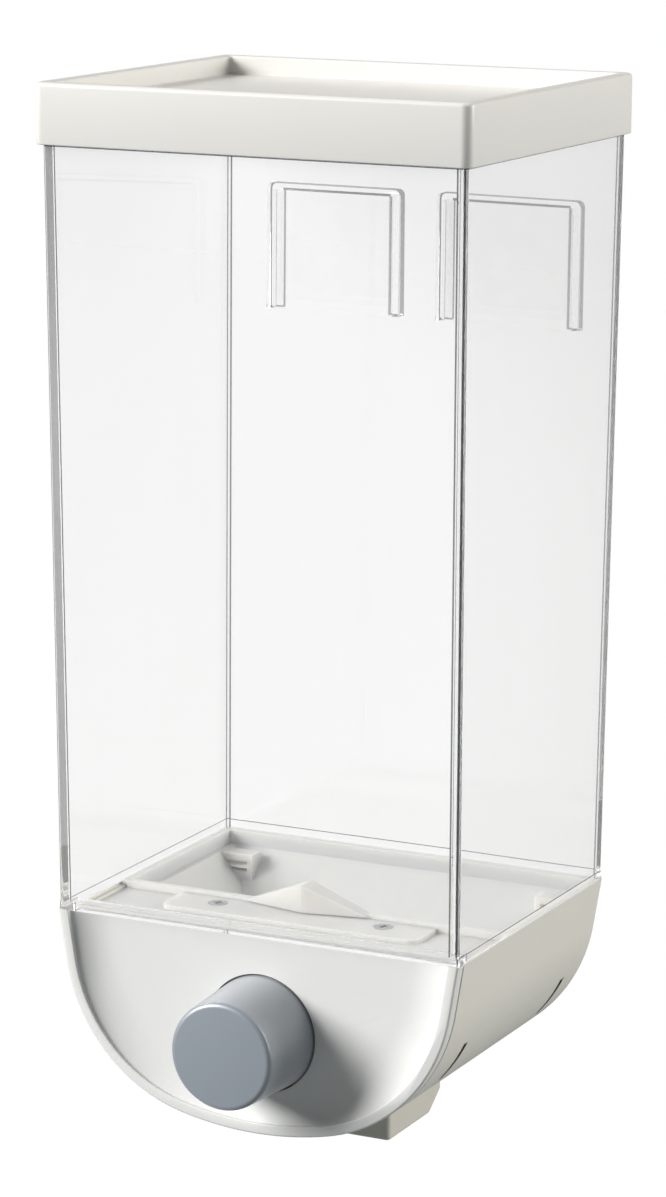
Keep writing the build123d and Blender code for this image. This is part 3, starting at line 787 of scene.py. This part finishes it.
@dataclass
class Rail:
    """One hanging rail: an inverted U with inward lips on its legs."""

    side: Side
    pitch: float = 46.4
    width: float = 36.4
    height: float = 31.2
    top: float = 163.8
    wall: float = 1.7
    lip: float = 2.0
    lip_depth: float = 1.3
    back: float = 48.672
    sunk: float = 44.3
    corner: float = 1.6
    corner_steps: int = 6
    edge: float = 0.34
    edge_steps: int = 3
    over: float = 2.0

    @property
    def middle(self) -> float:
        """The X of the rail's middle."""
        return self.side.value * self.pitch / 2

    def outside(self) -> BMesh:
        """Makes the rail's outer block, with rounded top corners.

        Returns:
            The block.
        """
        bm = block((self.middle - self.width / 2, self.sunk, self.top - self.height),
                   (self.middle + self.width / 2, self.back, self.top))
        tops = [e for e in bm.edges if e.verts[0].co.z > self.top - 1
                and abs((e.verts[1].co - e.verts[0].co).normalized().y) > 0.9]
        round_edges(bm, tops, self.corner, self.corner_steps)
        return bm

    def spaces(self, front: float) -> list[BMesh]:
        """Makes the space that the wall plate slides in and the mouth between the lips.

        Args:
            front: The Y of the container's outer wall there.

        Returns:
            The two as closed meshes.
        """
        inner = self.width / 2 - self.wall
        low, high = self.top - self.height - self.over, self.top - self.wall
        return [block((self.middle - half, front, low), (self.middle + half, back, high))
                for half, back in ((inner, self.back - self.lip_depth),
                                   (inner - self.lip, self.back + self.over))]

    def ease(self, bm: BMesh) -> None:
        """Rounds every edge of the rail's rear face."""
        rear = [e for e in bm.edges if all(v.co.y > self.back - 0.01 for v in e.verts)
                and len(e.link_faces) == 2 and e.calc_face_angle() > 1.0]
        round_edges(bm, rear, self.edge, self.edge_steps)


@dataclass
class Container:
    """The clear box: drafted walls, a neck under the lid, a foot flange and two hanging rails.

    The last fields limit how far the faces that get painted dark lines turn from the box's sides;
    these lines are painted shade at the edges, corners, shoulder and foot.
    """

    foot_x: float = 52.4
    foot_y: float = 42.8
    mouth_x: float = 53.55
    mouth_y: float = 45.75
    height: float = 180.8
    wall: float = 2.0
    corner: float = 1.6
    inner_corner: float = 0.9
    corner_steps: int = 10
    neck: float = 6.6
    neck_step: float = 0.7
    shoulder: float = 0.4
    foot_line: float = 0.25
    flange: float = 1.8
    flange_x: float = 52.6
    flange_front: float = -37.2
    edge: float = 0.3
    edge_steps: int = 3
    crease: float = 30.0
    upright: float = 0.5
    front_turn: float = 0.25
    inner_turn: Pair = (0.05, 0.40)
    rail_turn: Pair = (0.1, 0.98)

    def draft(self, foot: float, mouth: float) -> float:
        """Gives how far a wall leans out for each millimetre of height."""
        return (mouth - foot) / self.height

    def outside_y(self, z: float) -> float:
        """Gives the back wall's outer face at a height."""
        return self.foot_y + z * self.draft(self.foot_y, self.mouth_y)

    def levels(self) -> list[Ring]:
        """Lists the rings up the outside, over the rim and down the inside.

        Returns:
            The rings.
        """
        wall, inner = self.wall, self.inner_corner
        top = self.height + self.neck
        neck_x, neck_y = self.mouth_x - self.neck_step, self.mouth_y - self.neck_step
        neck_corner = self.corner - self.neck_step
        rings = [Ring(x, y, self.corner, z) for x, y, z in (
            (self.flange_x, self.foot_y, -self.flange), (self.flange_x, self.foot_y, 0.0),
            (self.foot_x, self.foot_y, 0.0), (self.foot_x, self.foot_y, self.foot_line),
            (self.mouth_x, self.mouth_y, self.height - self.shoulder),
            (self.mouth_x, self.mouth_y, self.height))]
        rings.append(Ring(neck_x, neck_y, neck_corner, self.height))
        rings += [Ring(neck_x - inset, neck_y - inset, neck_corner, z)
                  for inset, z in arc(0.0, top, self.edge, -self.edge, self.edge_steps)]
        hole_back = self.foot_y - wall
        half = (hole_back - self.flange_front) / 2
        middle = (hole_back + self.flange_front) / 2
        return rings + [
            Ring(self.mouth_x - wall + self.neck * self.draft(self.foot_x, self.mouth_x),
                 self.mouth_y - wall + self.neck * self.draft(self.foot_y, self.mouth_y),
                 inner, top),
            Ring(self.foot_x - wall, self.foot_y - wall, inner, 0.0),
            Ring(self.foot_x - wall, half, inner, 0.0, middle),
            Ring(self.foot_x - wall, half, inner, -self.flange, middle),
        ]

    def gets_painted_shade_line(self, face: MeshPolygon) -> bool:
        """Tells whether a face is one of the narrow strips painted dark as lines of painted shade.

        Args:
            face: A face of the finished container.

        Returns:
            True on the rails' rounded rear edges, the corners' lines, the shoulder and the foot.
        """
        normal, place = face.normal, DATUM.local(face.center)
        if place.y > Rail.back - Rail.edge:
            return self.rail_turn[0] < abs(normal.y) < self.rail_turn[1]
        if abs(normal.z) < self.upright and normal.x * place.x + normal.y * place.y > 0.0:
            at_top = self.height - self.shoulder < place.z < self.height
            at_foot = 0.0 < place.z < self.foot_line and normal.y > -self.upright
            turned = abs(abs(normal.x) - abs(normal.y)) < self.front_turn
            return at_top or at_foot or (normal.y < 0.0 and turned)
        least, most = self.inner_turn
        slanted = least < min(abs(normal.x), abs(normal.y)) < most
        return slanted and normal.x * place.x < 0.0 and normal.y * place.y < 0.0

    def build(self, book: FinishBook) -> Object:
        """Makes the container in the place of its solid.

        Args:
            book: The finishes.

        Returns:
            The container.
        """
        bm = bmesh.new()
        drawn = [level.draw(bm, self.corner_steps) for level in self.levels()]
        join_rings(bm, [*drawn, drawn[0]])
        face_outwards(bm)
        box = to_object(bm, "clear_container")
        for side in Side:
            rail = Rail(side)
            shape = to_object(rail.outside(), f"rail_{side.name.lower()}")
            for space in rail.spaces(self.outside_y(rail.top)):
                combine(shape, space, Cut.REMOVE)
            tool = bmesh.new()
            tool.from_mesh(shape.data)
            bpy.data.objects.remove(shape)
            DATUM.fetch(tool)
            rail.ease(tool)
            combine(box, tool, Cut.JOIN)
        smooth(box, self.crease)
        book.dress(box, "clear")
        # Narrow strips at the rails, corners, shoulder and foot get painted dark lines of shade.
        book.dress_more(box, "clear_painted_shade_line", self.gets_painted_shade_line)
        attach(box, "dispenser")
        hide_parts("container")
        book.slot("clear")
        return box


@dataclass
class BowlSection:
    """The D-shaped section of the base: three arcs below and a level top."""

    half_x: float = 52.6
    top: float = -1.8
    height: float = 48.1
    belly: float = 85.5
    belly_steps: int = 18
    flank: float = 41.1
    flank_steps: int = 22
    flare: float = 1.5

    def ring(self, bm: BMesh, inset: float, y: float, lift: float = 0.0) -> list[BMEdge]:
        """Adds the section's edges to a mesh.

        Args:
            bm: The mesh.
            inset: How far the section is moved inwards.
            y: Its place from front to back.
            lift: How far its level top is raised.

        Returns:
            The edges.
        """
        flank_x = self.half_x - self.flare - self.flank
        belly_z = self.top - self.height + self.belly
        flank_z = belly_z - math.sqrt((self.belly - self.flank) ** 2 - flank_x ** 2)
        rise, run = self.top - flank_z, self.half_x - flank_x
        side = math.atan2(rise, run) - math.acos(self.flank / math.hypot(run, rise))
        join = math.atan2(flank_z - belly_z, flank_x)
        radius = self.flank - inset
        start = Vector((flank_x + radius * math.cos(side), y, flank_z + radius * math.sin(side)))
        known = set(bm.edges)
        first = last = bmesh.ops.create_vert(bm, co=start)["vert"][0]
        for middle, angle, steps in (
                ((flank_x, y, flank_z), side - join, self.flank_steps),
                ((0, y, belly_z), 2 * join + math.pi, self.belly_steps),
                ((-flank_x, y, flank_z), side - join, self.flank_steps)):
            spun = bmesh.ops.spin(bm, geom=[last], cent=middle, axis=BACK, angle=angle,
                                  steps=steps)["geom_last"]
            last = next(item for item in spun if isinstance(item, BMVert))
        level = self.top + lift
        corner_x = start.x - (level - start.z) * math.tan(side)
        ends = []
        for end, way in ((first, 1), (last, -1)):
            corner = bmesh.ops.create_vert(bm, co=(way * corner_x, y, level))["vert"][0]
            bmesh.ops.contextual_create(bm, geom=[end, corner])
            ends.append(corner)
        bmesh.ops.contextual_create(bm, geom=ends)
        return [edge for edge in bm.edges if edge not in known]

    def stack(self, points: Sequence[Pair], lift: float = 0.0) -> BMesh:
        """Makes a closed mesh of sections.

        Args:
            points: Each section's inset and its place from front to back.
            lift: How far their level tops are raised.

        Returns:
            The mesh.
        """
        bm = bmesh.new()
        close_stack(bm, [self.ring(bm, inset, y, lift) for inset, y in points])
        return bm


@dataclass
class FrontCover:
    """The dished front of the base: a rim, a swept dish, a knob hole and a spigot behind."""

    section: BowlSection = field(default_factory=BowlSection)
    front: float = -42.8
    rim_depth: float = 2.8
    rim_width: float = 2.7
    rim_round: float = 0.6
    rim_steps: int = 4
    lip_round: float = 0.3
    lip_steps: int = 3
    wall_depth: float = 0.9
    dish_depth: float = 3.6
    sweep: float = 10.4
    sweep_steps: int = 12
    sweep_pull: Pair = (0.22, 0.55)
    sweep_settle: float = 0.55
    panel: float = 2.0
    spigot_inset: float = 2.3
    spigot_wall: float = 1.6
    spigot_reach: float = 5.0
    hole: float = 14.45
    hole_sides: int = 128
    hole_reach: Pair = (-5.0, 15.0)
    edge: float = 0.25
    above: float = 4.0
    crease: float = 50.0

    def outside(self) -> BMesh:
        """Makes the cover before it is dished: a rounded plate with a spigot behind.

        Returns:
            The closed mesh.
        """
        front, back = self.front, self.front + self.rim_depth
        inner = self.spigot_inset + self.spigot_wall
        end = back + self.spigot_reach
        points = [
            (inner, front + self.dish_depth + self.panel), (inner, end), (self.spigot_inset, end),
            (self.spigot_inset, back), (0.0, back),
            *arc(0.0, front, self.rim_round, self.rim_round, self.rim_steps),
        ]
        return self.section.stack(points)

    def dish(self) -> BMesh:
        """Makes the dish's space, which is open at the front and at the top.

        Returns:
            The closed mesh.
        """
        front = self.front
        points = [(self.rim_width - self.lip_round, front - 1.0),
                  *arc(self.rim_width, front, -self.lip_round, self.lip_round, self.lip_steps, -1)]
        foot = Vector((self.rim_width, front + self.wall_depth))
        reach = Vector((self.rim_width + self.sweep, front + self.dish_depth))
        pull = foot + Vector((self.sweep_pull[0] * self.sweep,
                              self.sweep_pull[1] * (reach.y - foot.y)))
        settle = Vector((foot.x + self.sweep_settle * self.sweep, reach.y))
        for k in range(self.sweep_steps + 1):
            t = k / self.sweep_steps
            point = ((1 - t) ** 3 * foot + 3 * (1 - t) ** 2 * t * pull
                     + 3 * (1 - t) * t ** 2 * settle + t ** 3 * reach)
            points.append((point.x, point.y))
        return self.section.stack(points, self.above)

    def build(self, book: FinishBook) -> Object:
        """Makes the cover in the place of its solid.

        Args:
            book: The finishes.

        Returns:
            The cover.
        """
        cover = to_object(self.outside(), "dished_cover")
        combine(cover, self.dish(), Cut.REMOVE)
        start, end = (self.front + reach for reach in self.hole_reach)
        combine(cover, rod(self.hole, 0.0, start, end, self.hole_sides), Cut.REMOVE)
        soften(cover, self.edge, self.crease)
        smooth(cover, self.crease)
        book.dress(cover, "white")
        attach(cover, "dispenser")
        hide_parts("front_cover")
        book.slot("white")
        return cover


@dataclass
class PushKnob:
    """The round button: a tapered cup with a guide tube and two screw bosses inside."""

    rear: float = -36.9
    face: float = -59.5
    panel: float = -39.2
    base_radius: float = 14.05
    face_radius: float = 13.05
    wall: float = 1.8
    face_wall: float = 2.0
    face_round: float = 1.3
    face_steps: int = 6
    tube_bore: float = 3.05
    tube_wall: float = 1.95
    tube_short: float = 0.3
    boss_offset: float = 11.0
    boss_length: float = 12.0
    boss_radius: float = 2.0
    boss_sides: int = 32
    screw_bore: float = 1.25
    screw_depth: float = 7.5
    screw_sides: int = 24
    turns: int = 96
    crease: float = 35.0

    def lathe(self, points: Sequence[Pair]) -> BMesh:
        """Spins a profile of radius and Y about the knob's axis into a closed mesh.

        Args:
            points: The profile, from the axis back to the axis.

        Returns:
            The mesh.
        """
        bm = bmesh.new()
        verts = [bmesh.ops.create_vert(bm, co=(radius, y, AXIS_Z))["vert"][0]
                 for radius, y in points]
        edges = [bm.edges.new(pair) for pair in zip(verts, verts[1:])]
        bmesh.ops.spin(bm, geom=[*verts, *edges], cent=(0, 0, AXIS_Z), axis=BACK,
                       angle=2 * math.pi, steps=self.turns, use_merge=True)
        face_outwards(bm)
        return bm

    def build(self, book: FinishBook) -> Object:
        """Makes the knob in the place of its solid.

        Args:
            book: The finishes.

        Returns:
            The knob.
        """
        inner_face = self.face + self.face_wall
        tube = self.tube_bore + self.tube_wall
        tube_end = self.rear - self.tube_short
        rounding = arc(self.face_radius, self.face, -self.face_round, self.face_round,
                       self.face_steps)
        knob = to_object(self.lathe([
            (0.0, inner_face), (self.tube_bore, inner_face), (self.tube_bore, tube_end),
            (tube, tube_end), (tube, inner_face), (self.face_radius - self.wall, inner_face),
            (self.base_radius - self.wall, self.rear), (self.base_radius, self.rear),
            (self.base_radius, self.panel), *rounding, (0.0, self.face),
        ]), "push_button")
        for side in Side:
            x = side.value * self.boss_offset
            combine(knob, rod(self.boss_radius, x, self.rear, self.rear - self.boss_length,
                              self.boss_sides), Cut.JOIN)
            combine(knob, rod(self.screw_bore, x, self.rear + 1, self.rear - self.screw_depth,
                              self.screw_sides), Cut.REMOVE)
        smooth(knob, self.crease)
        book.dress(knob, "knob")
        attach(knob, "plunger")
        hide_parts("push_knob")
        book.slot("knob")
        return knob


@dataclass
class ReturnSpring:
    """The coil round the guide post, which the knob squeezes as it goes in; it is built at one
    length only.
    """

    axis_z: float = AXIS_Z
    front: float = -57.2
    back: float = -15.7
    radius: float = 7.0
    wire: float = 0.45
    wire_sides: int = 10
    turns: int = 10
    steps_per_turn: int = 28
    travel: float = 15.0
    crease: float = 60.0

    def build(self, book: FinishBook) -> Object:
        """Makes the coil in the place of its solid.

        Args:
            book: The finishes.

        Returns:
            The coil.
        """
        bm = bmesh.new()
        start, end = self.front + self.wire, self.back - self.wire
        steps = self.turns * self.steps_per_turn
        upright = Matrix.Translation((self.radius, start, self.axis_z))
        circle = bmesh.ops.create_circle(bm, cap_ends=True, segments=self.wire_sides,
                                         radius=self.wire, matrix=upright)["verts"]
        face = circle[0].link_faces[0]
        bmesh.ops.spin(bm, geom=[face], cent=(0, start, self.axis_z), axis=BACK,
                       dvec=BACK * ((end - start) / steps), angle=2 * math.pi * self.turns,
                       steps=steps)
        face_outwards(bm)
        spring = to_object(bm, "coil_spring")
        smooth(spring, self.crease)
        book.dress(spring, "wire")
        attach(spring, "dispenser")
        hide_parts("return_spring")
        book.slot("wire")
        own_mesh(spring)
        return spring


@dataclass
class SoftenedPart:
    """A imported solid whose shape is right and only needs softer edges: a merged, bevelled copy.

    Vertices nearer than doubles, in metres, are merged, and faces within flat degrees are joined.
    """

    node: str
    name: str
    body: str
    finish: str
    edge: float = 0.25
    angle: float = 40.0
    slits: tuple[float, ...] = ()
    slit_x: float = 43.5
    slit_reach: Triple = (3.6, 1.2, -9.0)
    doubles: float = 1e-6
    flat: float = 0.6
    crease: float = 38.0

    def in_slit_painted_shade(self, face: MeshPolygon) -> bool:
        """Tells whether a face is one of a slit's inner walls, which get painted shade.

        Args:
            face: A face of the part.

        Returns:
            True within a slit's reach.
        """
        spot = DATUM.local(face.center)
        wide, deep, top = self.slit_reach
        beside = abs(abs(spot.x) - self.slit_x) < wide and spot.z < top
        return beside and any(abs(spot.y - slit) < deep for slit in self.slits)

    def build(self, frame: dict, book: FinishBook) -> Object:
        """Copies the node's mesh, merges it, softens its edges and takes its place.

        Args:
            book: The finishes.

        Returns:
            The new piece.
        """
        bm = bmesh.new()
        bm.from_mesh(frame["nodes"][self.node].data)
        bmesh.ops.remove_doubles(bm, verts=bm.verts, dist=self.doubles)
        inner = [e for e in bm.edges if len(e.link_faces) == 2]
        bmesh.ops.dissolve_limit(bm, angle_limit=math.radians(self.flat), verts=[], edges=inner)
        part = to_object(bm, self.name, placed=True)
        soften(part, self.edge, self.angle)
        smooth(part, self.crease)
        # The large faces set the shading, so that small ones at a corner draw no crease.
        part.modifiers.new("even_shading", "WEIGHTED_NORMAL").keep_sharp = True
        book.dress(part, self.finish)
        # The slits' inner walls get the darker copy of the shell plastic: painted shade in the
        # recesses.
        if self.slits:
            book.dress_more(part, "slit", self.in_slit_painted_shade)
        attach(part, self.body)
        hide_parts(self.node)
        book.slot(self.finish)
        return part


@dataclass
class Works:
    """The base's other parts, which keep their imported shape."""

    softened: tuple[SoftenedPart, ...] = (
        SoftenedPart("base_shell", "bowl_shell", "dispenser", "shell", 0.2, slits=(-25.5, 31.5)),
        # The hopper and the deck get the darker inner copy of the white plastic: painted shade
        # inside the base.
        SoftenedPart("hopper", "funnel_insert", "dispenser", "inner"),
        SoftenedPart("mechanism_cover", "deck_plate", "dispenser", "inner"),
        SoftenedPart("outlet_spout", "chute_spout", "dispenser", "spout", 0.3),
        SoftenedPart("guide_bracket", "post_bracket", "dispenser", "white", 0.15),
        SoftenedPart("slide_gate", "gate_plate", "plunger", "white", 0.2),
    )
    kept: tuple[tuple[str, str], ...] = (
        ("lid_seal", "seal"), ("guide_post", "screw"), ("gate_rail_left", "white"),
        ("gate_rail_right", "white"), ("spout_screws", "screw"), ("knob_screws", "screw"),
        ("mechanism_cover_screws", "screw"), ("wall_plate_left", "plate"),
        ("wall_plate_right", "plate"), ("adhesive_pad_left", "pad"), ("adhesive_pad_right", "pad"),
    )

    def build(self, frame: dict, book: FinishBook) -> list[Object]:
        """Softens the parts that show and dresses the rest.

        Args:
            book: The finishes.

        Returns:
            The new pieces.
        """
        for name, finish in self.kept:
            book.dress_node(frame["nodes"][name], finish)
        return [part.build(frame, book) for part in self.softened]


# Studio


@dataclass(frozen=True)
class Lamp:
    """A square area lamp, with its way from what it lights and its distance and side in metres."""

    name: str
    toward: Triple
    away: float
    size: float
    power: float
    color: Triple = (1.0, 1.0, 1.0)

    def build(self, aim: Vector) -> None:
        """Adds the lamp.

        Args:
            aim: The point that it lights.
        """
        data = bpy.data.lights.new(self.name, "AREA")
        data.shape = "SQUARE"
        data.size = self.size
        data.energy = self.power
        data.color = self.color
        lamp = bpy.data.objects.new(self.name, data)
        way = Vector(self.toward).normalized()
        lamp.location = aim + way * self.away
        lamp.rotation_euler = (-way).to_track_quat("-Z", "Y").to_euler()
        bpy.context.scene.collection.objects.link(lamp)


@dataclass
class Studio:
    """A pale floor, a white surround, soft lamps and the photograph's viewpoint."""

    camera_place: Triple = (423.604, -861.179, 274.607)
    turn: float = 26.237
    drop: float = 11.973
    roll: float = 0.328
    focal_pixels: float = 4107.175
    frame_height: float = 1197.0
    sensor: float = 36.0
    clip: Pair = (0.05, 20.0)
    floor_z: float = -300.0
    floor_half: float = 3000.0
    floor_glow: float = 0.98
    floor_shadow: float = 0.03
    floor_bounce: Rgba = (0.23, 0.25, 0.26, 1.0)
    ambient: float = 0.13
    ambient_color: Rgba = (0.98, 0.99, 1.0, 1.0)
    mirrored: float = 0.20
    mirrored_low: float = 0.28
    middle_z: float = 75.0
    lamps: tuple[Lamp, ...] = (
        Lamp("key", (-0.69, -0.575, 0.44), 8.0, 3.80, power=985.0, color=(1.0, 0.995, 0.985)),
        Lamp("fill", (0.85, 0.45, 0.28), 2.0, 1.00, power=32.0, color=(1.0, 0.985, 0.95)),
        Lamp("top", (0.45, 0.30, 0.84), 2.0, 1.00, power=4.5),
    )

    def camera(self) -> None:
        """Sets the camera where the photograph was taken from."""
        turn, drop, roll = (math.radians(a) for a in (self.turn, self.drop, self.roll))
        ahead = Vector((-math.sin(turn) * math.cos(drop), math.cos(turn) * math.cos(drop),
                        -math.sin(drop)))
        level = ahead.cross(UP).normalized()
        above = level.cross(ahead)
        right = level * math.cos(roll) + above * math.sin(roll)
        above = right.cross(ahead)
        data = bpy.data.cameras.new("view")
        data.sensor_fit = "VERTICAL"
        data.sensor_height = self.sensor
        data.lens = self.focal_pixels / self.frame_height * self.sensor
        data.clip_start, data.clip_end = self.clip
        camera = bpy.data.objects.new("view", data)
        bpy.context.scene.collection.objects.link(camera)
        matrix = Matrix((right, above, -ahead)).transposed().to_4x4()
        matrix.translation = DATUM.point(*self.camera_place)
        camera.matrix_world = matrix
        bpy.context.scene.camera = camera

    def surround(self) -> None:
        """Makes a world that looks white and lights the object plainly."""
        world = bpy.data.worlds.new("surround")
        bpy.context.scene.world = world
        sheet = NodeSheet(world, "ShaderNodeOutputWorld")
        rays = sheet.add("ShaderNodeLightPath").outputs
        shown = sheet.math("MAXIMUM", rays["Is Camera Ray"], rays["Is Transmission Ray"])
        glossy = sheet.math("MULTIPLY", rays["Is Glossy Ray"], self.mirrored)
        lit = sheet.add("ShaderNodeBackground", Color=self.ambient_color, Strength=self.ambient)
        seen = sheet.add("ShaderNodeBackground", Color=grey(1.0))
        sheet.finish(sheet.mix(sheet.math("MAXIMUM", shown, glossy), lit, seen))

    def floor(self) -> None:
        """Lays a pale floor below the dispenser, as white as the surround but for its shadow."""
        bm = bmesh.new()
        bmesh.ops.create_grid(bm, x_segments=1, y_segments=1, size=self.floor_half,
                              matrix=Matrix.Translation((0, 0, self.floor_z)))
        floor = to_object(bm, "floor")
        sheet = material_sheet("floor_white")
        dull = sheet.add("ShaderNodeBsdfDiffuse", Color=grey(self.floor_shadow))
        bright = sheet.add("ShaderNodeEmission", Color=grey(1.0), Strength=self.floor_glow)
        bounce = sheet.add("ShaderNodeBsdfDiffuse", Color=self.floor_bounce)
        low = sheet.add("ShaderNodeEmission", Color=grey(1.0), Strength=self.mirrored_low)
        rays = sheet.add("ShaderNodeLightPath").outputs
        shown = sheet.math("MAXIMUM", rays["Is Camera Ray"], rays["Is Transmission Ray"])
        hidden = sheet.mix(rays["Is Glossy Ray"], bounce, low)
        both = sheet.add("ShaderNodeAddShader", dull, bright)
        floor.data.materials.append(sheet.finish(sheet.mix(shown, hidden, both)))

    def build(self) -> None:
        """Sets up the whole studio."""
        self.camera()
        self.surround()
        self.floor()
        for lamp in self.lamps:
            lamp.build(DATUM.point(0.0, 0.0, self.middle_z))
        bpy.context.scene.view_settings.view_transform = "Standard"


def main() -> None:
    """Builds the dispenser's pieces in order and reports each one."""
    logging.basicConfig(level=logging.INFO, format="%(name)s: %(message)s")
    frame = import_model()
    book = make_finishes()
    Studio().build()
    pieces = [
        Lid().build(book),
        Container().build(book),
        FrontCover().build(book),
        PushKnob().build(book),
        ReturnSpring().build(book),
        *Works().build(frame, book),
    ]
    for piece in pieces:
        log.info("%s: %d faces", piece.name, len(piece.data.polygons))


if __name__ == "__main__":
    main()
